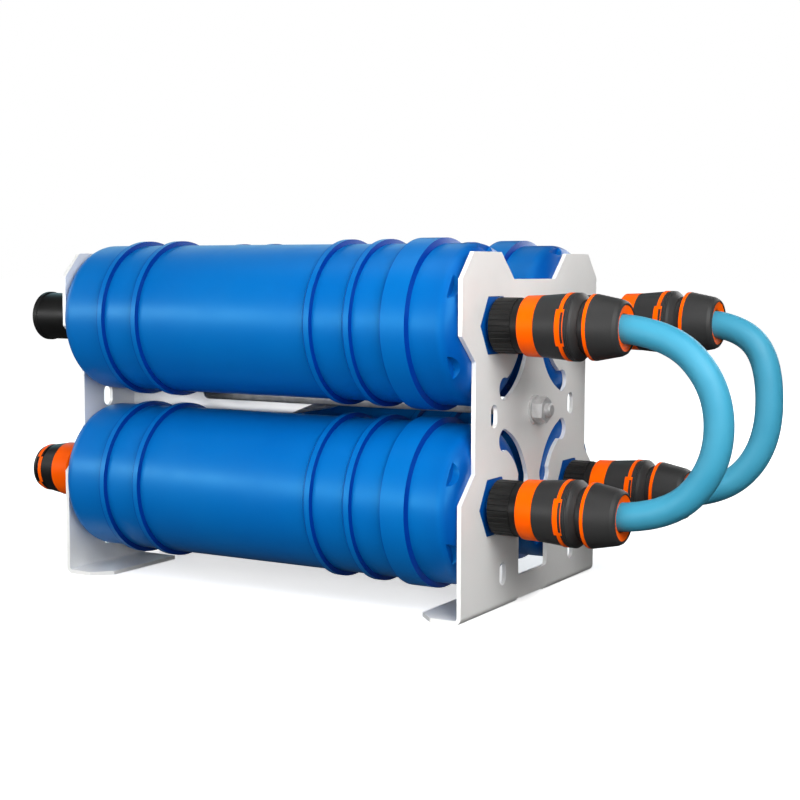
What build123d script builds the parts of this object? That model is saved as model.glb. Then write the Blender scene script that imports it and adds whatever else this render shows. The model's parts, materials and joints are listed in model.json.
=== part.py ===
"""Deionized water filter tank: four resin vessels in a folded sheet rack, joined by quick couplers.

+X points along the vessels to the end with the two U-shaped hoses, +Y to the rear, +Z up.
The feet stand on Z = 0, and X = 0 and Y = 0 are the middle of the whole object.
"""

import os
from math import cos, radians, sin, sqrt, tan

from build123d import *

# Rack: spacing of the four vessels and of the two end plates
BODY_RADIUS = 55.4
VESSEL_GAP_Y = 12.2
VESSEL_GAP_Z = 12.6
MID_HEIGHT = 135.0
PLATE_GAP = 338.4
SHEET = 3.0
SEAT = 0.2

# Outline of an end plate, heights counted from the middle between the vessels
PLATE_TOP = 111.0
EAR_OUTER = 93.5
EAR_INNER = 53.5
NOTCH_HALF = 34.0
NOTCH_FLOOR = 92.7
BLOCK_HALF = 109.8
SHOULDER = 93.0
UPPER_BLOCK_END = 56.0
WAIST_HALF = 90.5
WAIST_TOP = 38.0
WAIST_BOTTOM = -36.5
LOWER_BLOCK_START = -55.2
STRIP_LIFT = 2.7

# Feet of an end plate
FOOT_LENGTH = 36.0
FOOT_INNER = 23.4
FOOT_CHAMFER = 12.8
BEND_RADIUS = 2.0

# Cut-outs of an end plate
HEX_CLEARANCE = 0.4
LEAF_RADIUS = 47.3
LEAF_WIDTH = 13.0
LEAF_HALF_ANGLE = 27.0
BULB_RADIUS = 8.0
BULB_INSET = 1.2
WINDOW_HALF = 23.6
WINDOW_TOP = -86.0
WINDOW_BOTTOM = -115.9
WINDOW_CORNER = 3.0
MID_SLOT_Y = 63.0
LOWER_SLOTS_Y = (-48.2, 66.0)
LOWER_SLOT_Z = -110.3
SLOT_WIDTH = 9.6
SLOT_LENGTH = 16.2

# Tie rod through both plates, M10
ROD_RADIUS = 5.0
ROD_TIP = 4.0
ROD_HOLE_GAP = 0.5
NUT_ACROSS = 17.0
NUT_THICK = 8.0
WASHER_RADIUS = 10.2
INNER_WASHER_RADIUS = 8.3
WASHER_THICK = 2.0
THREAD_GAP = 0.03

# Centre bracket, a folded channel round the tie rod
BRACKET_SHEET = 2.0
BRACKET_LENGTH = 173.0
BRACKET_FULL = 70.0
BRACKET_NOSE = 23.0
BRACKET_LIP = 1.8
BRACKET_NOTCH_RADIUS = 5.5
BRACKET_TAB_HALF = 24.0
BRACKET_GAP = 0.3
BRACKET_NUT_GAP = 0.1

# Vessel
WALL = 3.4
END_ROUND_LEFT = 10.0
END_ROUND_RIGHT = 13.0
END_WALL = 6.0
BEAD_HEIGHT = 3.3
BEAD_STEPS = (2.8, 4.6, 0.6)
LEFT_BEADS = (36.7, 68.7)
RIGHT_BEADS = (77.0, 109.0)
BAND_HEIGHT = 3.9
BAND_WIDTH = 22.4
BAND_FLANKS = (2.2, 1.2)
CAP_LENGTH = 55.3
NECK_STEP = 5.2
NECK_LENGTH = 34.0
NECK_WALL = 3.6
NECK_GAP = 0.15
SEAL_THICK = 2.5
SCALLOP_RADIUS = 11.0
SCALLOP_OFFSET = 4.5
SCALLOP_DEPTH = 7.0
SCALLOP_COUNT = 6
REAR_CAP_TURN = 10.0
HEX_ACROSS = 38.4
PORT_RADIUS = 9.5
NIPPLE_RADIUS = 13.2
NIPPLE_LENGTH = 14.0
STRAINER_THICK = 4.0
STRAINER_HOLE = 3.0
STRAINER_HOLES = 6
STRAINER_GAP = 0.2
RESIN_GAP = 0.3

# Tap adaptor, stations counted outwards from the plate's outer face
ADAPTOR_START = 2.6
ADAPTOR_RADIUS = 18.9
RIB_END = 19.0
RIB_COUNT = 30
RIB_CUT = 0.9
ADAPTOR_END = 24.0
ADAPTOR_NECK_RADIUS = 18.4
EXTENSION_RADIUS = 14.0
NOZZLE_RADIUS = 8.0
NOZZLE_BORE = 5.5
NOZZLE_LENGTH = 20.0
NOZZLE_GROOVE = 3.0
NOZZLE_GROOVE_DEPTH = 1.2
NOZZLE_GROOVE_START = 8.0
REAR_TOP_EXTRA = 20.0

# Quick coupler, stations counted from the adaptor's end
RING_START = 0.4
RING_RADIUS = 20.3
RING_WIDTH = 12.2
SLEEVE_START = 12.8
SLEEVE_RADIUS = 20.6
SLEEVE_END_RADIUS = 22.0
BAND_RING_START = 30.8
BAND_RING_WIDTH = 2.5
COLLAR_RADIUS = 22.6
COLLAR_EDGE = 38.4
COLLAR_GROOVES = 2
COLLAR_GROOVE_DEPTH = 0.35
COLLAR_EDGE_RADIUS = 21.4
SLEEVE_TAIL_RADIUS = 18.3
SLEEVE_END = 42.6
SLEEVE_STEP = 33.5
SLEEVE_TRAVEL = 4.0
STEM_RADIUS = 14.0
STEM_NECK_RADIUS = 17.3
STEM_GAP = 0.08
FLANGE_START = 47.8
FLANGE_WIDTH = 2.4
FLANGE_RADIUS = 21.8
FIT_GAP = 0.05
TAB_HALF_ANGLE = 28.0
TAB_BACK = 1.8
TAB_FRONT = 1.5
TAB_WINDOW = 1.9
TAB_LINE = 0.5
TAB_FRAME = 4.0

# Hose nut, collet and hose
NUT_END_RADIUS = 18.5
HOSE_NUT_LENGTH = 20.0
NUT_THREAD_RADIUS = 16.6
SPIGOT_RADIUS = 11.0
NUT_FRONT_ROUND = 3.2
MOUTH_RADIUS = 15.2
COLLET_RECESS = 0.7
BARB_RADIUS = 6.4
BARB_BORE = 4.6
BARB_COUNT = 4
BARB_DEPTH = 0.7
HOSE_RADIUS = 9.6
HOSE_BORE = 6.5
HOSE_GRIP = 16.0
HOSE_GAP = 0.1
FRONT_HOSE_REACH = 156.4
REAR_HOSE_REACH = 151.4
REAR_HOSE_TOP_CORNER = 42.0

# Outlet socket and inlet coupler on the left end, stations from the plate's outer face
SOCKET_LENGTH = 60.0
SOCKET_RADIUS = 18.4
SOCKET_LIP_RADIUS = 19.3
SOCKET_LIP = 4.6
SOCKET_THREAD_RADIUS = 13.0
SOCKET_THREAD_LENGTH = 15.0
INLET_RING_END = 40.6
INLET_RADIUS = 21.2
INLET_BAND_START = 55.2
INLET_BAND_END = 60.1
INLET_BAND_RADIUS = 18.7
INLET_END = 64.3
INLET_END_RADIUS = 17.4
INLET_STEM_RADIUS = 13.0
INLET_THREAD_RADIUS = 9.4
INLET_THREAD_LENGTH = 15.0
INLET_RECESS = 3.0

# Places that follow from the sizes above
PITCH_Y = 2 * BODY_RADIUS + VESSEL_GAP_Y
PITCH_Z = 2 * BODY_RADIUS + VESSEL_GAP_Z
NECK_RADIUS = BODY_RADIUS - NECK_STEP
BRACKET_REACH = NUT_ACROSS / 2 + BRACKET_NUT_GAP + BRACKET_SHEET
BRACKET_CLEAR = BODY_RADIUS + BEAD_HEIGHT + BRACKET_GAP
BRACKET_HALF = PITCH_Y / 2 - sqrt(BRACKET_CLEAR**2 - (PITCH_Z / 2 - BRACKET_REACH) ** 2)
PLATE_FACE = PLATE_GAP / 2 + SHEET
REACH_RIGHT = PLATE_FACE + FRONT_HOSE_REACH + HOSE_RADIUS
REACH_LEFT = PLATE_FACE + INLET_END
X_SHIFT = (REACH_LEFT - REACH_RIGHT) / 2
FLOOR = -MID_HEIGHT
BEND_OUTER = BEND_RADIUS + SHEET
END_FACE = PLATE_GAP / 2 - SEAT
CAP_START = END_FACE - CAP_LENGTH
NECK_END = CAP_START + NECK_LENGTH
CAVITY_RADIUS = BODY_RADIUS - WALL
THROAT_RADIUS = NECK_RADIUS - NECK_WALL
CAVITY_FLOOR = -END_FACE + END_WALL
STEM_BORE_DEPTH = NOZZLE_LENGTH + 1.0
NUT_START = FLANGE_START + FLANGE_WIDTH
MOUTH = NUT_START + HOSE_NUT_LENGTH

VESSELS = {
    "front_top": (-PITCH_Y / 2, PITCH_Z / 2),
    "front_bottom": (-PITCH_Y / 2, -PITCH_Z / 2),
    "rear_top": (PITCH_Y / 2, PITCH_Z / 2),
    "rear_bottom": (PITCH_Y / 2, -PITCH_Z / 2),
}


def turned(profile):
    """A solid turned about the X axis from (x, radius) points."""
    face = make_face(Polyline(*[(x, r, 0) for x, r in profile], close=True))
    return revolve(face, Axis.X, 360)


def along_x(sketch, start, length):
    """A sketch drawn as (y, z), extruded along +X from the station start."""
    plane = Plane(origin=(start, 0, 0), x_dir=(0, 1, 0), z_dir=(1, 0, 0))
    return extrude(plane * sketch, length)


def cylinder_x(radius, start, length):
    """A cylinder along +X."""
    return along_x(Circle(radius), start, length)


def tube_x(outer, inner, start, length):
    """A plain tube along +X."""
    return cylinder_x(outer, start, length) - cylinder_x(inner, start, length)


def side_plate(points, half_width, y=0.0):
    """A plate drawn as (x, z), with its thickness along Y."""
    plane = Plane(origin=(0, y, 0), x_dir=(1, 0, 0), z_dir=(0, -1, 0))
    return extrude(plane * make_face(Polyline(*points, close=True)), half_width, both=True)


# End plates
def plate_outline():
    """Ears, shoulders, waist and lower block of one plate, from its top to its strip."""
    side = [
        (NOTCH_HALF, NOTCH_FLOOR),
        (EAR_INNER, PLATE_TOP),
        (EAR_OUTER, PLATE_TOP),
        (BLOCK_HALF, SHOULDER),
        (BLOCK_HALF, UPPER_BLOCK_END),
        (WAIST_HALF, WAIST_TOP),
        (WAIST_HALF, WAIST_BOTTOM),
        (BLOCK_HALF, LOWER_BLOCK_START),
        (BLOCK_HALF, FLOOR + BEND_OUTER),
        (FOOT_INNER, FLOOR + BEND_OUTER),
        (FOOT_INNER, FLOOR + STRIP_LIFT),
    ]
    mirrored = [(-y, z) for y, z in reversed(side)]
    return make_face(Polyline(*side, *mirrored, close=True))


def leaf_slot(y, z):
    """A leaf-shaped slot round a vessel's axis, with a bulb at both ends."""
    diagonal = 45.0 + (90.0 if y > 0 else 0.0)
    if z > 0:
        diagonal = -diagonal
    start = diagonal - LEAF_HALF_ANGLE
    arc = SlotArc(CenterArc((0, 0), LEAF_RADIUS, start, 2 * LEAF_HALF_ANGLE), LEAF_WIDTH)
    for angle in (start, start + 2 * LEAF_HALF_ANGLE):
        reach = LEAF_RADIUS - BULB_INSET
        centre = (reach * cos(radians(angle)), reach * sin(radians(angle)))
        arc += Pos(*centre) * Circle(BULB_RADIUS)
    return Pos(y, z) * arc


def plate_openings():
    """Hex holes, leaf slots, window, slots and the hole of the tie rod."""
    cut = Circle(ROD_RADIUS + ROD_HOLE_GAP)
    hex_radius = HEX_ACROSS / 2 + HEX_CLEARANCE
    for y, z in VESSELS.values():
        cut += Pos(y, z) * RegularPolygon(hex_radius, 6, major_radius=False)
        cut += leaf_slot(y, z)
    window_height = WINDOW_TOP - WINDOW_BOTTOM
    window = RectangleRounded(2 * WINDOW_HALF, window_height, WINDOW_CORNER)
    cut += Pos(0, WINDOW_BOTTOM + window_height / 2) * window
    slot = SlotOverall(SLOT_LENGTH, SLOT_WIDTH, rotation=90)
    for y in (-MID_SLOT_Y, MID_SLOT_Y):
        cut += Pos(y, 0) * slot
    for y in LOWER_SLOTS_Y:
        cut += Pos(y, LOWER_SLOT_Z) * slot
    return cut


def foot_tab():
    """The bend and the tab of one foot at the rear side, for the plate at the right end."""
    tip = PLATE_FACE - FOOT_LENGTH
    with BuildSketch(Plane.XZ) as bend:
        with BuildLine():
            Line((PLATE_FACE, FLOOR + BEND_OUTER), (PLATE_FACE - SHEET, FLOOR + BEND_OUTER))
            inner_start = (PLATE_FACE - SHEET, FLOOR + BEND_OUTER)
            inner_end = (PLATE_FACE - BEND_OUTER, FLOOR + SHEET)
            RadiusArc(inner_start, inner_end, BEND_RADIUS)
            Line(inner_end, (tip, FLOOR + SHEET))
            Line((tip, FLOOR + SHEET), (tip, FLOOR))
            Line((tip, FLOOR), (PLATE_FACE - BEND_OUTER, FLOOR))
            outer_end = (PLATE_FACE, FLOOR + BEND_OUTER)
            RadiusArc((PLATE_FACE - BEND_OUTER, FLOOR), outer_end, -BEND_OUTER)
        make_face()
    tab = Pos(0, BLOCK_HALF, 0) * extrude(bend.sketch, BLOCK_HALF - FOOT_INNER)
    corner = make_face(
        Polyline(
            (tip, BLOCK_HALF - FOOT_CHAMFER),
            (tip + FOOT_CHAMFER, BLOCK_HALF),
            (tip, BLOCK_HALF),
            close=True,
        )
    )
    return tab - Pos(0, 0, FLOOR - SHEET) * extrude(corner, 3 * SHEET)


def end_plate():
    """The right end plate, one folded sheet."""
    sheet = along_x(plate_outline() - plate_openings(), PLATE_FACE - SHEET, SHEET)
    tab = foot_tab()
    return sheet + tab + mirror(tab, Plane.XZ)


# Tie rod and bracket
def tie_rod():
    """M10 rod with chamfered ends, its fine thread left plain."""
    end = PLATE_FACE + WASHER_THICK + NUT_THICK + ROD_TIP
    rod = cylinder_x(ROD_RADIUS, -end, 2 * end)
    return chamfer(rod.edges().filter_by(GeomType.CIRCLE), 1.2)


def hex_nut(start, rotation):
    """A chamfered M10 nut from the station start outwards."""
    body = along_x(
        RegularPolygon(NUT_ACROSS / 2, 6, major_radius=False, rotation=rotation)
        - Circle(ROD_RADIUS + THREAD_GAP),
        start,
        NUT_THICK,
    )
    corner = NUT_ACROSS / sqrt(3)
    slope = (corner - NUT_ACROSS / 2) * 0.6
    cone = turned(
        [
            (start, 0),
            (start, corner - slope),
            (start + slope, corner + 0.1),
            (start + NUT_THICK - slope, corner + 0.1),
            (start + NUT_THICK, corner - slope),
            (start + NUT_THICK, 0),
        ]
    )
    return body & cone


def rod_stations():
    """Start stations of washer and nut with the washer's radius and the nut's turn."""
    outer = PLATE_FACE
    inner = PLATE_FACE - SHEET
    tab = inner - BRACKET_SHEET
    return [
        (-outer - WASHER_THICK, -outer - WASHER_THICK - NUT_THICK, WASHER_RADIUS, 30),
        (-tab, -tab + WASHER_THICK, INNER_WASHER_RADIUS, 0),
        (inner - WASHER_THICK, inner - WASHER_THICK - NUT_THICK, INNER_WASHER_RADIUS, 0),
        (outer, outer + WASHER_THICK, WASHER_RADIUS, 30),
    ]


def tie_nuts():
    return Compound(children=[hex_nut(nut, turn) for _, nut, _, turn in rod_stations()])


def tie_washers():
    gap = ROD_RADIUS + 0.25
    return Compound(
        children=[tube_x(size, gap, at, WASHER_THICK) for at, _, size, _ in rod_stations()]
    )


def centre_bracket():
    """A channel folded from sheet, open at the top, with an end tab clamped by the tie rod."""
    reach = BRACKET_REACH
    left = -PLATE_GAP / 2
    with BuildSketch() as section:
        with BuildLine():
            FilletPolyline(
                (-BRACKET_HALF, reach),
                (-BRACKET_HALF, -reach),
                (BRACKET_HALF, -reach),
                (BRACKET_HALF, reach),
                radius=2 * BRACKET_SHEET,
            )
            inside = BRACKET_HALF - BRACKET_SHEET
            FilletPolyline(
                (-inside, reach),
                (-inside, -reach + BRACKET_SHEET),
                (inside, -reach + BRACKET_SHEET),
                (inside, reach),
                radius=BRACKET_SHEET,
            )
            Line((-BRACKET_HALF, reach), (-inside, reach))
            Line((BRACKET_HALF, reach), (inside, reach))
        make_face()
    channel = along_x(section.sketch, left, BRACKET_LENGTH)
    notch_start = left + BRACKET_FULL
    end = left + BRACKET_LENGTH
    notch = side_plate(
        [
            (notch_start, reach + 1),
            (notch_start, -BRACKET_LIP),
            (end + 1, -BRACKET_LIP),
            (end + 1, reach + 1),
        ],
        BRACKET_HALF + 1,
    )
    corner = notch.edges().filter_by(Axis.Y).sort_by(lambda e: e.center().X + e.center().Z)[0]
    channel -= fillet(corner, BRACKET_NOTCH_RADIUS)
    nose = side_plate(
        [(end - BRACKET_NOSE, -reach), (end, -BRACKET_LIP), (end + 1, -BRACKET_LIP),
         (end + 1, -reach - 1), (end - BRACKET_NOSE, -reach - 1)],
        BRACKET_HALF + 1,
    )
    channel -= nose
    tab = side_plate(
        [(left, -reach), (left, reach), (left + BRACKET_SHEET, reach), (left + BRACKET_SHEET, -reach)],
        BRACKET_TAB_HALF,
    )
    hole = cylinder_x(ROD_RADIUS + ROD_HOLE_GAP, left - 1, BRACKET_SHEET + 2)
    return channel + tab - hole


# Vessels
def bead_points(start):
    """(x, radius) points of one moulded bead with a steeper left flank."""
    foot = BODY_RADIUS
    crest = BODY_RADIUS + BEAD_HEIGHT
    left, flat, right = BEAD_STEPS
    return [
        (start, foot),
        (start + left, crest),
        (start + left + flat, crest),
        (start + left + flat + right, foot),
    ]


def hex_boss(inner, outer):
    """The hex that a vessel end sets into the plate's hex hole."""
    hexagon = RegularPolygon(HEX_ACROSS / 2, 6, major_radius=False)
    return along_x(hexagon, min(inner, outer), abs(outer - inner))


def vessel_end(side):
    """Hex boss and threaded nipple of one end, side -1 or +1, without the port."""
    boss = hex_boss(side * (END_FACE - 1), side * PLATE_FACE)
    nipple = cylinder_x(NIPPLE_RADIUS, side * PLATE_FACE - (NIPPLE_LENGTH if side < 0 else 0), NIPPLE_LENGTH)
    return boss + nipple


def port():
    """The water way through both ends."""
    end = PLATE_FACE + NIPPLE_LENGTH + 1
    return cylinder_x(PORT_RADIUS, -end, 2 * end)


def vessel_shell():
    """Shell with beads, a neck for the cap at the right and the outlet boss at the left."""
    profile = [(-END_FACE, 0), (-END_FACE, BODY_RADIUS)]
    for bead in LEFT_BEADS:
        profile += bead_points(-END_FACE + bead)
    for bead in reversed(RIGHT_BEADS):
        profile += bead_points(END_FACE - bead - sum(BEAD_STEPS))
    profile += [(CAP_START, BODY_RADIUS), (CAP_START, NECK_RADIUS), (NECK_END, NECK_RADIUS), (NECK_END, 0)]
    body = turned(profile)
    rim = body.edges().filter_by(GeomType.CIRCLE).sort_by(Axis.X)[0]
    body = fillet(rim, END_ROUND_LEFT) + vessel_end(-1)
    cavity = turned(
        [
            (CAVITY_FLOOR, 0),
            (CAVITY_FLOOR, CAVITY_RADIUS - END_WALL),
            (CAVITY_FLOOR + END_WALL, CAVITY_RADIUS),
            (CAP_START - END_WALL, CAVITY_RADIUS),
            (CAP_START, THROAT_RADIUS),
            (NECK_END + 1, THROAT_RADIUS),
            (NECK_END + 1, 0),
        ]
    )
    return body - cavity - port()


def vessel_cap(turn):
    """Screw cap: raised grip band, shoulder with spanner scallops, hex boss and nipple."""
    crest = BODY_RADIUS + BAND_HEIGHT
    left, right = BAND_FLANKS
    body = turned(
        [
            (CAP_START, 0),
            (CAP_START, BODY_RADIUS),
            (CAP_START + left, crest),
            (CAP_START + BAND_WIDTH - right, crest),
            (CAP_START + BAND_WIDTH, BODY_RADIUS),
            (END_FACE, BODY_RADIUS),
            (END_FACE, 0),
        ]
    )
    rim = body.edges().filter_by(GeomType.CIRCLE).sort_by(Axis.X)[-1]
    body = fillet(rim, END_ROUND_RIGHT)
    spot = Pos(BODY_RADIUS + SCALLOP_OFFSET, 0) * Circle(SCALLOP_RADIUS)
    scallops = Sketch(
        children=[
            Rot(0, 0, turn + 360 / SCALLOP_COUNT * (index + 0.5)) * spot
            for index in range(SCALLOP_COUNT)
        ]
    )
    body -= along_x(scallops, END_FACE - SCALLOP_DEPTH, SCALLOP_DEPTH + 1)
    body += vessel_end(1)
    pocket = turned(
        [
            (CAP_START - 1, 0),
            (CAP_START - 1, NECK_RADIUS + NECK_GAP),
            (NECK_END + SEAL_THICK, NECK_RADIUS + NECK_GAP),
            (NECK_END + SEAL_THICK, THROAT_RADIUS),
            (END_FACE - END_WALL, PORT_RADIUS),
            (END_FACE - END_WALL, 0),
        ]
    )
    return body - pocket - port()


def cap_seal():
    """Flat ring between the neck's end and the cap."""
    return tube_x(NECK_RADIUS, THROAT_RADIUS, NECK_END, SEAL_THICK)


def strainer(start):
    """Perforated disc that holds the resin back."""
    disc = Circle(THROAT_RADIUS - STRAINER_GAP - (END_WALL if start < 0 else 0))
    for index in range(STRAINER_HOLES):
        angle = radians(360 / STRAINER_HOLES * index)
        disc -= Pos(PORT_RADIUS * 2 * cos(angle), PORT_RADIUS * 2 * sin(angle)) * Circle(STRAINER_HOLE)
    return along_x(disc, start, STRAINER_THICK)


def strainer_discs():
    """Both discs of every vessel."""
    starts = (CAVITY_FLOOR, NECK_END - STRAINER_THICK)
    return [at_vessel(strainer(start), vessel) for vessel in VESSELS for start in starts]


def resin_bed():
    """The charge of resin beads, drawn as one body."""
    start = CAVITY_FLOOR + STRAINER_THICK + RESIN_GAP
    end = NECK_END - STRAINER_THICK - RESIN_GAP
    wide = CAVITY_RADIUS - RESIN_GAP
    return turned(
        [
            (start, 0),
            (start, wide - END_WALL),
            (CAVITY_FLOOR + END_WALL, wide - RESIN_GAP),
            (CAP_START - END_WALL - RESIN_GAP, wide - RESIN_GAP),
            (CAP_START - RESIN_GAP, THROAT_RADIUS - RESIN_GAP),
            (end, THROAT_RADIUS - RESIN_GAP),
            (end, 0),
        ]
    )


# Tap adaptor and quick coupler, drawn with the plate's outer face at X = 0 and +X outwards
def ribbed_skirt(start, length):
    """Skirt with shallow grip grooves."""
    ring = Circle(ADAPTOR_RADIUS)
    ring -= PolarLocations(ADAPTOR_RADIUS + RIB_CUT / 2, RIB_COUNT) * Circle(RIB_CUT)
    return along_x(ring, start, length)


def tap_adaptor(extra=0.0):
    """Knurled adaptor on the vessel's nipple, with the nozzle that the coupler grips.

    An extra length makes a thinner extension between the adaptor and the nozzle.
    """
    end = ADAPTOR_END + extra
    skirt = ribbed_skirt(ADAPTOR_START + 1, RIB_END - ADAPTOR_START - 1)
    core = turned(
        [
            (ADAPTOR_START, 0),
            (ADAPTOR_START, ADAPTOR_NECK_RADIUS - 1),
            (ADAPTOR_START + 1, ADAPTOR_NECK_RADIUS),
            (ADAPTOR_END, ADAPTOR_NECK_RADIUS),
            *([(ADAPTOR_END, EXTENSION_RADIUS), (end, EXTENSION_RADIUS)] if extra else []),
            (end, NOZZLE_RADIUS),
            (end + NOZZLE_GROOVE_START, NOZZLE_RADIUS),
            (end + NOZZLE_GROOVE_START, NOZZLE_RADIUS - NOZZLE_GROOVE_DEPTH),
            (end + NOZZLE_GROOVE_START + NOZZLE_GROOVE, NOZZLE_RADIUS - NOZZLE_GROOVE_DEPTH),
            (end + NOZZLE_GROOVE_START + NOZZLE_GROOVE, NOZZLE_RADIUS),
            (end + NOZZLE_LENGTH - 1, NOZZLE_RADIUS),
            (end + NOZZLE_LENGTH, NOZZLE_RADIUS - 1),
            (end + NOZZLE_LENGTH, 0),
        ]
    )
    thread = cylinder_x(NIPPLE_RADIUS + THREAD_GAP, 0, NIPPLE_LENGTH)
    return skirt + core - thread - cylinder_x(NOZZLE_BORE, 0, end + NOZZLE_LENGTH + 1)


def coupler_nose():
    """Wide orange ring at the coupler's mouth, seated on the stem."""
    end = RING_START + RING_WIDTH
    return turned(
        [
            (RING_START, STEM_RADIUS),
            (RING_START, RING_RADIUS - 0.7),
            (RING_START + 0.7, RING_RADIUS),
            (end, RING_RADIUS + 0.4),
            (end, STEM_RADIUS),
        ]
    )


def coupler_body():
    """Stem under the sleeve, neck, spigot for the collet and hose barb."""
    spigot_end = MOUTH - HOSE_GRIP
    barb_step = (HOSE_GRIP - 3) / BARB_COUNT
    barbs = []
    for index in range(BARB_COUNT):
        foot = spigot_end + index * barb_step
        barbs += [(foot, BARB_RADIUS), (foot + barb_step, BARB_RADIUS - BARB_DEPTH)]
    body = turned(
        [
            (RING_START, 0),
            (RING_START, STEM_RADIUS),
            (SLEEVE_STEP + SLEEVE_TRAVEL + 0.5, STEM_RADIUS),
            (SLEEVE_STEP + SLEEVE_TRAVEL + 0.5, STEM_NECK_RADIUS),
            (FLANGE_START, STEM_NECK_RADIUS),
            (FLANGE_START, SPIGOT_RADIUS),
            (spigot_end, SPIGOT_RADIUS),
            *barbs,
            (MOUTH - 3, 0),
        ]
    )
    socket = cylinder_x(NOZZLE_RADIUS + FIT_GAP, 0, STEM_BORE_DEPTH)
    return body - socket - cylinder_x(BARB_BORE, 0, MOUTH)


def release_sleeve():
    """Dark sleeve with the big finger collar. It slides towards the hose to let go of the nozzle."""
    collar_start = BAND_RING_START + BAND_RING_WIDTH + TAB_FRONT
    step = (COLLAR_EDGE - collar_start) / (COLLAR_GROOVES + 1)
    grooves = []
    for index in range(1, COLLAR_GROOVES + 1):
        middle = collar_start + index * step
        grooves += [
            (middle - step / 4, COLLAR_RADIUS),
            (middle, COLLAR_RADIUS - COLLAR_GROOVE_DEPTH),
            (middle + step / 4, COLLAR_RADIUS),
        ]
    return turned(
        [
            (SLEEVE_START, STEM_RADIUS + STEM_GAP),
            (SLEEVE_START, SLEEVE_RADIUS),
            (BAND_RING_START - TAB_BACK, SLEEVE_END_RADIUS),
            (collar_start, SLEEVE_END_RADIUS),
            (collar_start, COLLAR_RADIUS),
            *grooves,
            (COLLAR_EDGE, COLLAR_RADIUS),
            (COLLAR_EDGE + 1.5, COLLAR_EDGE_RADIUS),
            (SLEEVE_END, SLEEVE_TAIL_RADIUS),
            (SLEEVE_END, STEM_NECK_RADIUS + STEM_GAP),
            (SLEEVE_STEP, STEM_NECK_RADIUS + STEM_GAP),
            (SLEEVE_STEP, STEM_RADIUS + STEM_GAP),
        ]
    )


def window_ring(seat_radius, outer, start, width, back, front):
    """Thin ring with a framed window on the front side, seated on the sleeve."""
    ring = tube_x(outer, seat_radius, start, width)
    frame_start = start - back
    frame_end = start + width + front
    frame = tube_x(outer, seat_radius, frame_start, frame_end - frame_start)
    reach = outer * tan(radians(TAB_HALF_ANGLE))
    block = Pos(frame_start, -2 * outer, -reach) * Box(
        frame_end - frame_start, 2 * outer, 2 * reach, align=(Align.MIN, Align.MIN, Align.MIN)
    )
    window_end = frame_end - TAB_LINE
    window = Pos(window_end - TAB_WINDOW, -2 * outer, -reach + TAB_FRAME / 2) * Box(
        TAB_WINDOW, 2 * outer, 2 * reach - TAB_FRAME, align=(Align.MIN, Align.MIN, Align.MIN)
    )
    return ring + (frame & block) - window


def sleeve_ring():
    return window_ring(
        SLEEVE_END_RADIUS, COLLAR_RADIUS, BAND_RING_START, BAND_RING_WIDTH, TAB_BACK, TAB_FRONT
    )


def hose_nut():
    """Conical nut that clamps the collet on the hose."""
    bore = NUT_THREAD_RADIUS + HOSE_GAP
    return turned(
        [
            (NUT_START, bore),
            (NUT_START, FLANGE_RADIUS),
            (MOUTH - NUT_FRONT_ROUND, NUT_END_RADIUS),
            (MOUTH - NUT_FRONT_ROUND / 3, NUT_END_RADIUS - NUT_FRONT_ROUND / 3),
            (MOUTH, MOUTH_RADIUS + 0.9),
            (MOUTH, MOUTH_RADIUS + HOSE_GAP),
            (MOUTH - 2 * NUT_FRONT_ROUND, bore),
        ]
    )


def hose_collet():
    """Orange collet: flange in front of the nut, and the claw ring out to the nut's mouth."""
    front = MOUTH - COLLET_RECESS
    spigot_end = MOUTH - HOSE_GRIP
    return turned(
        [
            (FLANGE_START, SPIGOT_RADIUS + FIT_GAP),
            (FLANGE_START, FLANGE_RADIUS),
            (NUT_START, FLANGE_RADIUS),
            (NUT_START, NUT_THREAD_RADIUS),
            (MOUTH - 2 * NUT_FRONT_ROUND - HOSE_GAP, NUT_THREAD_RADIUS),
            (front, MOUTH_RADIUS),
            (front - 1.2, HOSE_RADIUS + HOSE_GAP),
            (spigot_end, HOSE_RADIUS + HOSE_GAP),
            (spigot_end, SPIGOT_RADIUS + FIT_GAP),
        ]
    )


# Hoses
def corner_radii(points):
    """Largest arc of each corner: 0.45 of the shorter run over the tangent of half the turn."""
    steps = [Vector(*b) - Vector(*a) for a, b in zip(points, points[1:])]
    radii = []
    for before, after in zip(steps, steps[1:]):
        half_turn = radians(before.get_angle(after) / 2)
        radii.append(0.45 * min(before.length, after.length) / tan(half_turn))
    return radii


def hose_route(start_top, start_bottom, reach, top_corner, bottom_corner):
    """Corner points of a U in the XZ plane, from the top nut to the bottom nut."""
    half = PITCH_Z / 2
    rise_top = top_corner * (1 - tan(radians(22.5)))
    rise_bottom = bottom_corner * (1 - tan(radians(22.5)))
    return [
        (start_top, 0, half),
        (reach - rise_top, 0, half),
        (reach, 0, half - rise_top),
        (reach, 0, -half + rise_bottom),
        (reach - rise_bottom, 0, -half),
        (start_bottom, 0, -half),
    ]


def hose(points):
    """Hose along the route, with its bore."""
    path = FilletPolyline(*points, radius=corner_radii(points))
    start = Plane(origin=points[0], x_dir=(0, 1, 0), z_dir=(1, 0, 0))
    tube = sweep(start * (Circle(HOSE_RADIUS) - Circle(HOSE_BORE)), path=path)
    print("hose length", round(path.length, 1), "volume", round(tube.volume),
          "section times length", round(3.14159265 * (HOSE_RADIUS**2 - HOSE_BORE**2) * path.length),
          "radii", [round(r, 1) for r in corner_radii(points)])
    return tube


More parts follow.
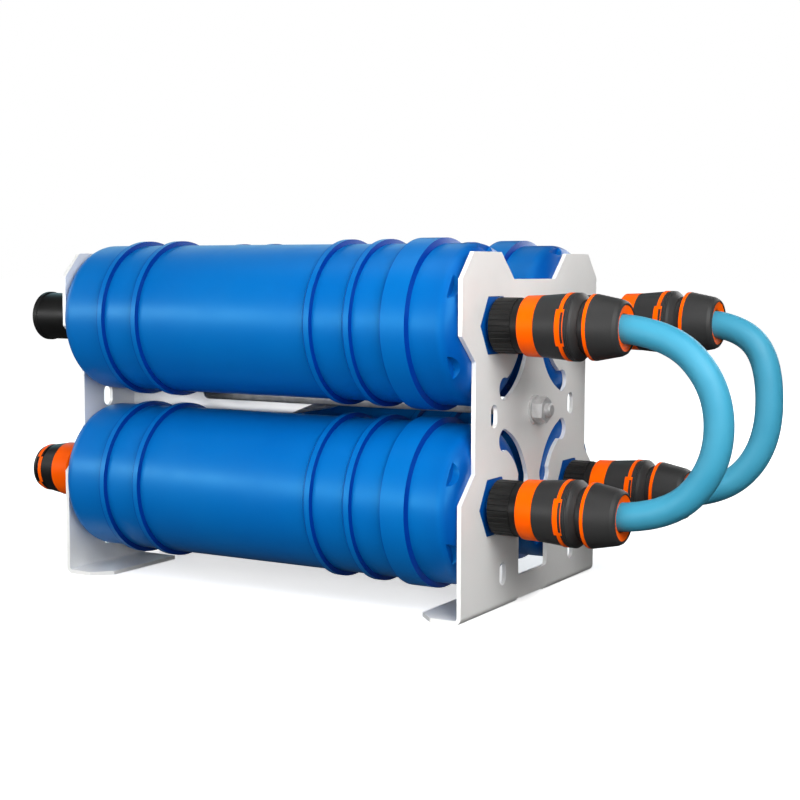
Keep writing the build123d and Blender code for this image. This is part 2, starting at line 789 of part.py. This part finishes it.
# Left end: outlet socket and inlet coupler
def outlet_socket():
    """Black socket of the upper vessels, with a plain lip and an open threaded bore."""
    body = turned(
        [
            (ADAPTOR_START, 0),
            (ADAPTOR_START, SOCKET_RADIUS),
            (SOCKET_LENGTH - SOCKET_LIP, SOCKET_RADIUS),
            (SOCKET_LENGTH - SOCKET_LIP + 0.9, SOCKET_LIP_RADIUS),
            (SOCKET_LENGTH, SOCKET_LIP_RADIUS),
            (SOCKET_LENGTH, 0),
        ]
    )
    body = fillet(body.edges().filter_by(GeomType.CIRCLE).sort_by(Axis.X)[-1], 0.8)
    thread = cylinder_x(NIPPLE_RADIUS + THREAD_GAP, 0, NIPPLE_LENGTH)
    mouth = cylinder_x(
        SOCKET_THREAD_RADIUS, SOCKET_LENGTH - SOCKET_THREAD_LENGTH, SOCKET_THREAD_LENGTH + 1
    )
    return body - thread - mouth - cylinder_x(NOZZLE_BORE, 0, SOCKET_LENGTH)


def inlet_body():
    """Orange ring and stem of the inlet coupler, with a threaded socket at its outer end."""
    start = ADAPTOR_END + RING_START
    stem_end = INLET_END - INLET_RECESS
    body = turned(
        [
            (start, 0),
            (start, INLET_RADIUS - 1),
            (start + 1, INLET_RADIUS),
            (INLET_RING_END, INLET_RADIUS),
            (INLET_RING_END, INLET_STEM_RADIUS),
            (stem_end, INLET_STEM_RADIUS),
            (stem_end, 0),
        ]
    )
    socket = cylinder_x(NOZZLE_RADIUS + FIT_GAP, 0, ADAPTOR_END + NOZZLE_LENGTH + 0.5)
    mouth = cylinder_x(INLET_THREAD_RADIUS, stem_end - INLET_THREAD_LENGTH, INLET_THREAD_LENGTH + 1)
    return body - socket - mouth - cylinder_x(NOZZLE_BORE, 0, stem_end)


def inlet_sleeve():
    """Tapered black sleeve of the inlet coupler. It slides outwards."""
    seat = INLET_BAND_RADIUS - 0.6
    bore = INLET_STEM_RADIUS + STEM_GAP
    return turned(
        [
            (INLET_RING_END + 0.2, bore),
            (INLET_RING_END + 0.2, INLET_RADIUS - 0.2),
            (INLET_BAND_START - TAB_BACK, INLET_BAND_RADIUS + 0.4),
            (INLET_BAND_START - TAB_BACK, seat),
            (INLET_BAND_END, seat),
            (INLET_BAND_END, INLET_BAND_RADIUS - 0.3),
            (INLET_END - 1, INLET_END_RADIUS),
            (INLET_END, INLET_END_RADIUS - 1),
            (INLET_END, bore),
        ]
    )


def inlet_band():
    """Thin orange ring with the window tab on the inlet sleeve."""
    return window_ring(
        INLET_BAND_RADIUS - 0.6, INLET_BAND_RADIUS, INLET_BAND_START,
        INLET_BAND_END - INLET_BAND_START, TAB_BACK, 0.0,
    )


# Placing
def at_vessel(shape, vessel):
    y, z = VESSELS[vessel]
    return Pos(0, y, z) * shape


def at_right(shape, vessel, station=0.0):
    """Places a fitting outside the right plate, station mm out."""
    return Pos(PLATE_FACE + station, 0, 0) * at_vessel(shape, vessel)


def at_left(shape, vessel):
    """Places a fitting outside the left plate, mirrored so that it points to -X."""
    return Pos(-PLATE_FACE, 0, 0) * at_vessel(mirror(shape, Plane.YZ), vessel)


def extra_length(vessel):
    """The rear upper coupler sits further out, on a longer adaptor."""
    return REAR_TOP_EXTRA if vessel == "rear_top" else 0.0


def hoses():
    """Both U hoses, each from the mouth of a top nut to that of a bottom nut."""
    start = ADAPTOR_END + MOUTH - HOSE_GRIP
    bottom_rise = PITCH_Z / 2 - 0.5
    front = hose_route(start, start, FRONT_HOSE_REACH, bottom_rise, bottom_rise)
    rear = hose_route(
        start + REAR_TOP_EXTRA, start, REAR_HOSE_REACH, REAR_HOSE_TOP_CORNER, bottom_rise
    )
    place = Pos(PLATE_FACE, 0, 0)
    return {
        "hose_front": place * Pos(0, -PITCH_Y / 2, 0) * hose(front),
        "hose_rear": place * Pos(0, PITCH_Y / 2, 0) * hose(rear),
    }


def build_nodes():
    """Every node of the model by name."""
    plate = end_plate()
    nodes = {
        "end_plate_right": plate,
        "end_plate_left": Rot(0, 0, 180) * plate,
        "tie_rod": tie_rod(),
        "tie_nuts": tie_nuts(),
        "tie_washers": tie_washers(),
        "centre_bracket": centre_bracket(),
        "cap_seals": Compound(children=[at_vessel(cap_seal(), vessel) for vessel in VESSELS]),
        "strainer_discs": Compound(children=strainer_discs()),
    }
    shared = {
        "vessel_shell": vessel_shell(),
        "resin_bed": resin_bed(),
    }
    caps = {"front": vessel_cap(0.0), "rear": vessel_cap(REAR_CAP_TURN)}
    fittings = {
        "coupler_nose": coupler_nose(),
        "coupler_body": coupler_body(),
        "release_sleeve": release_sleeve(),
        "sleeve_ring": sleeve_ring(),
        "hose_nut": hose_nut(),
        "hose_collet": hose_collet(),
    }
    for vessel in VESSELS:
        for name, shape in shared.items():
            nodes[f"{name}_{vessel}"] = at_vessel(shape, vessel)
        nodes[f"vessel_cap_{vessel}"] = at_vessel(caps[vessel.split("_")[0]], vessel)
        extra = extra_length(vessel)
        nodes[f"tap_adaptor_{vessel}"] = at_right(tap_adaptor(extra), vessel)
        for name, shape in fittings.items():
            nodes[f"{name}_{vessel}"] = at_right(shape, vessel, ADAPTOR_END + extra)
    for side in ("front", "rear"):
        nodes[f"outlet_socket_{side}"] = at_left(outlet_socket(), f"{side}_top")
        lower = f"{side}_bottom"
        nodes[f"inlet_adaptor_{side}"] = at_left(tap_adaptor(), lower)
        nodes[f"inlet_body_{side}"] = at_left(inlet_body(), lower)
        nodes[f"inlet_sleeve_{side}"] = at_left(inlet_sleeve(), lower)
        nodes[f"inlet_band_{side}"] = at_left(inlet_band(), lower)
    nodes.update(hoses())
    return nodes


def main():
    os.makedirs("parts", exist_ok=True)
    place = Pos(X_SHIFT, 0, MID_HEIGHT)
    for name, shape in build_nodes().items():
        export_step(place * shape, f"parts/{name}.step")


main()
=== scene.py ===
import json
from math import radians

import bpy
from mathutils import Euler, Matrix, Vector


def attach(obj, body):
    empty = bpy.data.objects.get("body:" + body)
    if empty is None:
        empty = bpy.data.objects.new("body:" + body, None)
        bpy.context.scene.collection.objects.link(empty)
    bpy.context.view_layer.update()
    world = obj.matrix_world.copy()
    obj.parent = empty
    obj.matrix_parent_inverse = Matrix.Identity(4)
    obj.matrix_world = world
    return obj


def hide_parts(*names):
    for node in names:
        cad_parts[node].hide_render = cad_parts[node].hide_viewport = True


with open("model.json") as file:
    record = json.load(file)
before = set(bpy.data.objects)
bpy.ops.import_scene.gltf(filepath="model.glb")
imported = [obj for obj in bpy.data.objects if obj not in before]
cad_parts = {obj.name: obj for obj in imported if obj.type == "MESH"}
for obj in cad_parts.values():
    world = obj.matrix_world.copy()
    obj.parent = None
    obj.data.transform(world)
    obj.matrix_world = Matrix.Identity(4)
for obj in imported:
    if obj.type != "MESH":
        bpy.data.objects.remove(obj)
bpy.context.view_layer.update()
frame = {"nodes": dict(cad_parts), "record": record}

# Camera solved from the photograph, in metres, degrees and millimetres of lens
CAMERA_AT = (0.57785, -0.96745, 0.23264)
CAMERA_YAW = 30.39
CAMERA_PITCH = 4.89
CAMERA_ROLL = 0.11
CAMERA_LENS = 67.53
SENSOR_WIDTH = 36.0
CLIP_START = 0.01

# Axes of the four vessels and their fittings
VESSEL_Y = 0.0615
UPPER_Z = 0.1967
LOWER_Z = 0.0733

# Hoses: y, route corners as (x, z) and length of each one, and the radius of both
HOSE_RADIUS = 0.0096
HOSES = {
    "front": {
        "y": -VESSEL_Y,
        "route": [(0.19955, UPPER_Z), (0.24190, UPPER_Z), (0.27775, 0.16085),
                  (0.27775, 0.10915), (0.24190, LOWER_Z), (0.19955, LOWER_Z)],
        "length": 0.2291,
    },
    "rear": {
        "y": VESSEL_Y,
        "route": [(0.21955, UPPER_Z), (0.24815, UPPER_Z), (0.27275, 0.1721),
                  (0.27275, 0.10915), (0.23690, LOWER_Z), (0.19955, LOWER_Z)],
        "length": 0.2073,
    },
}

# Creases at the left of the vessels' beads and cap band, where thin lines of painted shade go, and the
# right ends of band and cap, as x
CREASES = (-0.18035, -0.14835, 0.00395, 0.03595, 0.06505)
CREASE_HALF = 0.0006
CREASE_SHADE_STRENGTH = 0.7
BAND_END = 0.0854
CAP_END = 0.1177

# Thin orange line painted on the ring of each inlet sleeve, counted outwards, with a step at the tab
INLET_STEM = 0.0155
INLET_RING_FROM = 0.27
INLET_LINE = 0.2817
INLET_LINE_HALF = 0.0017
INLET_STEP = 0.0024
INLET_TAB_HALF = 0.0102

# Studio lights as name, place, size, power and any tint, all aimed at one point
LIGHTS_AIM = (0.0, 0.0, 0.13)
LIGHTS = [
    ("band", (-1.35, -1.4, 0.47), (0.9, 0.12), 10),
    ("front", (0.2, -1.9, 0.75), (0.9, 0.4), 5.5),
    ("middle", (-0.4, -1.9, 0.28), (1.5, 0.06), 13.5),
    ("eye", (0.9, -1.15, 0.28), (0.5, 0.1), 4),
    ("top", (-0.1, -0.3, 1.8), (1.6, 0.8), 7),
    ("rim", (-1.3, 1.15, 1.0), (1.2, 1.2), 6, (0.5, 0.88, 1.0)),
    ("back", (0.3, 1.9, 0.8), (1.2, 0.8), 13),
    ("end", (-1.9, -0.2, 0.6), (0.8, 0.8), 5),
    ("side", (0.6, -0.4, 0.52), (0.5, 0.5), 6.6),
]

# Floor, whose glow rises to full white with distance, and the world's greys below and above
FLOOR_HALF = 30.0
FLOOR_FADE = 2.5
FLOOR_GLOW = [(0.1, 0.6), (1.0, 1.0)]
WORLD_GREYS = [(0.2, 0.05), (0.5, 0.06)]


def srgb(code):
    """Linear colour from a six-digit screen colour."""
    parts = [int(code[i : i + 2], 16) / 255 for i in (0, 2, 4)]
    return tuple(p / 12.92 if p <= 0.04045 else ((p + 0.055) / 1.055) ** 2.4 for p in parts) + (1.0,)


def set_stops(ramp, stops):
    """Fills a colour ramp from (position, grey or colour) stops."""
    while len(ramp.elements) < len(stops):
        ramp.elements.new(0.5)
    for element, (position, colour) in zip(ramp.elements, stops):
        element.position = position
        element.color = colour if isinstance(colour, tuple) else (colour, colour, colour, 1.0)


class Shader:
    """A Principled material with short helpers for its nodes."""

    def __init__(self, name, **sockets):
        self.material = bpy.data.materials.new(name)
        self.material.use_nodes = True
        self.tree = self.material.node_tree
        self.bsdf = self.tree.nodes["Principled BSDF"]
        for socket, value in sockets.items():
            self.bsdf.inputs[socket.replace("_", " ")].default_value = value

    def node(self, kind, inputs=None, **settings):
        made = self.tree.nodes.new(kind)
        for key, value in settings.items():
            setattr(made, key, value)
        for key, value in (inputs or {}).items():
            self.set(made.inputs[key], value)
        return made

    def set(self, socket, value):
        if isinstance(value, bpy.types.NodeSocket):
            self.tree.links.new(value, socket)
        else:
            socket.default_value = value

    def place(self):
        """Object coordinates, which are the row frame in metres."""
        return self.node("ShaderNodeTexCoord").outputs["Object"]

    def stretched(self, scale):
        return self.node("ShaderNodeMapping", {"Vector": self.place(), "Scale": scale}).outputs["Vector"]

    def length(self, vector):
        return self.node("ShaderNodeVectorMath", {0: vector}, operation="LENGTH").outputs["Value"]

    def noise(self, scale, detail=4.0, vector=None):
        made = self.node(
            "ShaderNodeTexNoise", {"Vector": vector or self.place(), "Scale": scale, "Detail": detail}
        )
        return made.outputs["Fac"]

    def ramp(self, value, stops):
        made = self.node("ShaderNodeValToRGB", {"Fac": value})
        set_stops(made.color_ramp, stops)
        return made.outputs["Color"]

    def drift(self, scale, dark, light, edge=0.35, detail=4.0):
        """Slow change between two screen colours, reached at edge and at 1 - edge of the noise."""
        return self.ramp(self.noise(scale, detail), [(edge, srgb(dark)), (1 - edge, srgb(light))])

    def math(self, operation, *values):
        made = self.node("ShaderNodeMath", operation=operation)
        for socket, value in zip(made.inputs, values):
            self.set(socket, value)
        return made.outputs[0]

    def mix(self, factor, a, b):
        made = self.node("ShaderNodeMix", data_type="RGBA")
        for key, value in (("Factor", factor), ("A", a), ("B", b)):
            self.set(made.inputs[key], value)
        return made.outputs["Result"]

    def axis(self, name):
        """One coordinate of the place."""
        return self.node("ShaderNodeSeparateXYZ", {"Vector": self.place()}).outputs[name]

    def facing_right(self):
        """How far the surface faces +X, from -1 to 1."""
        normal = self.node("ShaderNodeNewGeometry").outputs["Normal"]
        return self.node("ShaderNodeSeparateXYZ", {"Vector": normal}).outputs["X"]

    def colour(self, value):
        self.base = value
        self.set(self.bsdf.inputs["Base Color"], value)

    def roughness(self, low, high, scale):
        value = self.node(
            "ShaderNodeMapRange",
            {"Value": self.noise(scale), "From Min": 0.3, "From Max": 0.7, "To Min": low, "To Max": high},
        )
        self.set(self.bsdf.inputs["Roughness"], value.outputs["Result"])

    def bump(self, height, strength, distance):
        made = self.node("ShaderNodeBump", {"Height": height, "Strength": strength, "Distance": distance})
        self.set(self.bsdf.inputs["Normal"], made.outputs["Normal"])


def moulded(name, light, dark, low=0.36, high=0.48, tint=(1, 1, 1, 1)):
    """Injection-moulded plastic: slow colour drift, fine grain, worn gloss."""
    s = Shader(name, Specular_IOR_Level=0.22, Specular_Tint=tint)
    s.colour(s.drift(14.0, dark, light))
    s.roughness(low, high, scale=60.0)
    s.bump(s.noise(1800.0, detail=2.0), strength=0.12, distance=0.0004)
    return s


def coupler_orange():
    """Coupler orange, black beside the thin line on the rings of the inlet sleeves."""
    s = moulded("coupler_orange", "FF6200", "F85800", tint=(1, 0.4, 0.1, 1))
    outward = s.math("MULTIPLY", s.axis("X"), -1.0)
    height = s.math("SUBTRACT", s.axis("Z"), LOWER_Z)
    side = s.math("SUBTRACT", s.math("ABSOLUTE", s.axis("Y")), VESSEL_Y)
    across = s.node("ShaderNodeCombineXYZ", {"Y": side, "Z": height}).outputs["Vector"]
    past_stem = s.math("GREATER_THAN", s.length(across), INLET_STEM)
    ring = s.math("MULTIPLY", past_stem, s.math("GREATER_THAN", outward, INLET_RING_FROM))
    tab = s.math("LESS_THAN", s.math("ABSOLUTE", height), INLET_TAB_HALF)
    stepped = s.math("ADD", outward, s.math("MULTIPLY", tab, INLET_STEP))
    beside = s.math("SUBTRACT", 1.0, s.math("COMPARE", stepped, INLET_LINE, INLET_LINE_HALF))
    s.colour(s.mix(s.math("MULTIPLY", ring, beside), s.base, srgb("161616")))
    return s


def vessel_blue():
    """Blow-moulded blue with faint flow streaks, and painted shade that darkens the cap shoulders, the
    cap towards the plate, the bead flanks and the creases.
    """
    s = Shader("vessel_blue", Specular_IOR_Level=0.5, Specular_Tint=(0.12, 0.7, 1.0, 1.0))
    x = s.axis("X")
    facing = s.facing_right()
    # Painted shade: cap faces turned to +X, and the cap towards the plate, go darker blue (004896)
    shoulder_shade = s.ramp(facing, [(0.02, 0.0), (0.6, 1.0)])
    shoulder_shade = s.math("MULTIPLY", shoulder_shade, s.math("GREATER_THAN", x, BAND_END))
    shade = s.ramp(s.math("DIVIDE", x, CAP_END), [(0.72, 0.0), (1.0, 0.5)])
    shoulder_shade = s.math("MAXIMUM", shoulder_shade, shade)
    body = s.mix(shoulder_shade, s.drift(9.0, "0060AE", "0268B4", edge=0.3), srgb("004896"))
    # Painted shade on the bead flanks that face +X
    flank_shade = s.ramp(facing, [(0.7, 0.0), (0.95, 1.0)])
    flank_shade = s.math("MULTIPLY", flank_shade, s.math("LESS_THAN", x, BAND_END))
    # Painted shade: thin dark lines in the creases
    crease_shade = 0.0
    for line in CREASES:
        crease_shade = s.math("ADD", s.math("COMPARE", x, line, CREASE_HALF), crease_shade)
    dark = s.math("MAXIMUM", s.math("MULTIPLY", crease_shade, CREASE_SHADE_STRENGTH), flank_shade)
    # Painted shade colour (002E86) over the flanks and creases
    s.colour(s.mix(dark, body, srgb("002E86")))
    s.roughness(0.34, 0.42, scale=40.0)
    streaks = s.noise(90.0, detail=3.0, vector=s.stretched((0.15, 1.0, 1.0)))
    grain = s.math("ADD", s.noise(1500.0, detail=2.0), s.math("MULTIPLY", streaks, 0.6))
    s.bump(grain, strength=0.05, distance=0.0005)
    return s


def rack_sheet(name, light, dark):
    """Painted sheet; a painted highlight makes its cut edges and bends, which don't face along X,
    brighter.
    """
    s = Shader(name, Metallic=0.25, Specular_IOR_Level=0.5)
    # Painted highlight: faces that don't face along X go near white (F6F6F4)
    edge = s.ramp(s.math("ABSOLUTE", s.facing_right()), [(0.3, 1.0), (0.6, 0.0)])
    s.colour(s.mix(edge, s.drift(11.0, dark, light, detail=5.0), srgb("F6F6F4")))
    s.roughness(0.38, 0.52, scale=30.0)
    s.bump(s.noise(2600.0, detail=2.0), strength=0.08, distance=0.0003)
    return s


def tie_steel():
    """Zinc-plated steel with a mottled gloss."""
    s = Shader("tie_steel", Metallic=0.35)
    s.colour(s.drift(160.0, "B4B4B4", "CECECE"))
    s.roughness(0.3, 0.5, scale=220.0)
    s.bump(s.noise(1400.0, detail=3.0), strength=0.15, distance=0.0003)
    return s


def hose_blue():
    """Soft light-blue hose with a dull, even surface."""
    s = Shader("hose_blue", Specular_IOR_Level=0.25)
    s.colour(s.drift(26.0, "3388A5", "3C8FAB", edge=0.3))
    s.roughness(0.45, 0.55, scale=90.0)
    s.bump(s.noise(700.0, detail=2.0), strength=0.05, distance=0.0004)
    return s


def resin_beads():
    """Amber resin beads, with painted shade: lighter in the middle of each bead and darker towards the
    gaps between them.
    """
    s = Shader("resin")
    cells = s.node("ShaderNodeTexVoronoi", {"Vector": s.place(), "Scale": 900.0}).outputs["Distance"]
    # Painted shade: each bead lighter in its middle, darker towards the gaps
    s.colour(s.ramp(cells, [(0.1, srgb("C98B34")), (0.7, srgb("6E3F10"))]))
    s.roughness(0.35, 0.5, scale=60.0)
    s.bump(cells, strength=0.6, distance=0.0004)
    return s


SHADERS = {
    "vessel_blue": vessel_blue(),
    "rack_sheet": rack_sheet("rack_sheet", "F2F2F0", "E6E6E4"),
    "bracket_sheet": rack_sheet("bracket_sheet", "F0F0EE", "E6E6E4"),
    "tie_steel": tie_steel(),
    "fitting_black": moulded("fitting_black", "131313", "0D0D0D"),
    "coupler_grey": moulded("coupler_grey", "303030", "282828", low=0.42, high=0.55),
    "coupler_orange": coupler_orange(),
    "hose_blue": hose_blue(),
    "resin": resin_beads(),
    "strainer_plastic": moulded("strainer_plastic", "E4E4DE", "D6D6D0"),
    "seal_rubber": moulded("seal_rubber", "1C1C1C", "141414", low=0.55, high=0.7),
}


def link(name, data):
    """Puts new data into the scene as an object."""
    made = bpy.data.objects.new(name, data)
    bpy.context.collection.objects.link(made)
    return made


def dress_nodes():
    """Gives every CAD node the material of its record slot."""
    for entry in frame["record"]["subparts"]:
        piece = frame["nodes"][entry["node"]]
        material = SHADERS[entry["material_slot"]].material
        if not piece.material_slots:
            piece.data.materials.append(material)
        for slot in piece.material_slots:
            slot.material = material


def add_hose(name, y, route, length):
    """A hose on its own route, which replaces the CAD hose of the same name."""
    curve = bpy.data.curves.new(f"hose_{name}_line", "CURVE")
    curve.dimensions = "3D"
    curve.bevel_depth = HOSE_RADIUS
    curve.bevel_resolution = 10
    curve.resolution_u = 24
    curve.use_fill_caps = True
    line = curve.splines.new("NURBS")
    line.points.add(len(route) - 1)
    for point, (x, z) in zip(line.points, route):
        point.co = (x, y, z, 1.0)
    line.order_u = 3
    line.use_endpoint_u = True
    piece = link(f"hose_{name}_dressed", curve)
    curve.materials.append(SHADERS["hose_blue"].material)
    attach(piece, "rack")
    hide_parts(f"hose_{name}")
    x, z = route[0]


def add_camera():
    data = bpy.data.cameras.new("camera")
    data.lens = CAMERA_LENS
    data.sensor_width = SENSOR_WIDTH
    data.sensor_fit = "HORIZONTAL"
    data.clip_start = CLIP_START
    camera = link("camera", data)
    camera.location = CAMERA_AT
    turn = Euler((radians(90 - CAMERA_PITCH), 0, radians(CAMERA_YAW)), "XYZ").to_matrix()
    roll = Euler((0, 0, radians(CAMERA_ROLL))).to_matrix()
    camera.rotation_euler = (turn @ roll).to_euler()
    bpy.context.scene.camera = camera


def add_floor():
    """Pale floor that fades into the white background."""
    mesh = bpy.data.meshes.new("floor")
    corners = [(-1, -1), (1, -1), (1, 1), (-1, 1)]
    mesh.from_pydata([(x * FLOOR_HALF, y * FLOOR_HALF, 0) for x, y in corners], [], [(0, 1, 2, 3)])
    floor = link("floor", mesh)
    paper = Shader("floor_paper", Roughness=0.9, Specular_IOR_Level=0.0, Emission_Strength=1.0)
    paper.colour(paper.ramp(paper.noise(3.0), [(0.3, 0.9), (0.7, 0.93)]))
    away = paper.math("DIVIDE", paper.length(paper.place()), FLOOR_FADE)
    paper.set(paper.bsdf.inputs["Emission Color"], paper.ramp(away, FLOOR_GLOW))
    mesh.materials.append(paper.material)
    floor.visible_diffuse = floor.visible_glossy = False


def add_world():
    """Dim grey light from all round behind a plain white background."""
    world = bpy.data.worlds.new("studio")
    bpy.context.scene.world = world
    world.use_nodes = True
    nodes, links = world.node_tree.nodes, world.node_tree.links
    place = nodes.new("ShaderNodeTexCoord")
    height = nodes.new("ShaderNodeSeparateXYZ")
    greys = nodes.new("ShaderNodeValToRGB")
    set_stops(greys.color_ramp, WORLD_GREYS)
    lit = nodes["Background"]
    seen = nodes.new("ShaderNodeBackground")
    seen.inputs["Color"].default_value = (1, 1, 1, 1)
    ray = nodes.new("ShaderNodeLightPath")
    mix = nodes.new("ShaderNodeMixShader")
    links.new(place.outputs["Generated"], height.inputs["Vector"])
    links.new(height.outputs["Z"], greys.inputs["Fac"])
    links.new(greys.outputs["Color"], lit.inputs["Color"])
    links.new(ray.outputs["Is Camera Ray"], mix.inputs["Fac"])
    links.new(lit.outputs["Background"], mix.inputs[1])
    links.new(seen.outputs["Background"], mix.inputs[2])
    links.new(mix.outputs["Shader"], nodes["World Output"].inputs["Surface"])


def add_light(name, at, size, power, tint=(1, 1, 1)):
    """Area light aimed at the middle of the part."""
    data = bpy.data.lights.new(name, "AREA")
    data.shape = "RECTANGLE"
    data.size, data.size_y = size
    data.energy = power
    data.color = tint
    light = link(name, data)
    light.location = at
    light.rotation_euler = (Vector(LIGHTS_AIM) - Vector(at)).to_track_quat("-Z", "Y").to_euler()


add_camera()
for hose_name, facts in HOSES.items():
    add_hose(hose_name, **facts)
dress_nodes()
add_floor()
add_world()
for row in LIGHTS:
    add_light(*row)
bpy.context.scene.view_settings.view_transform = "Standard"
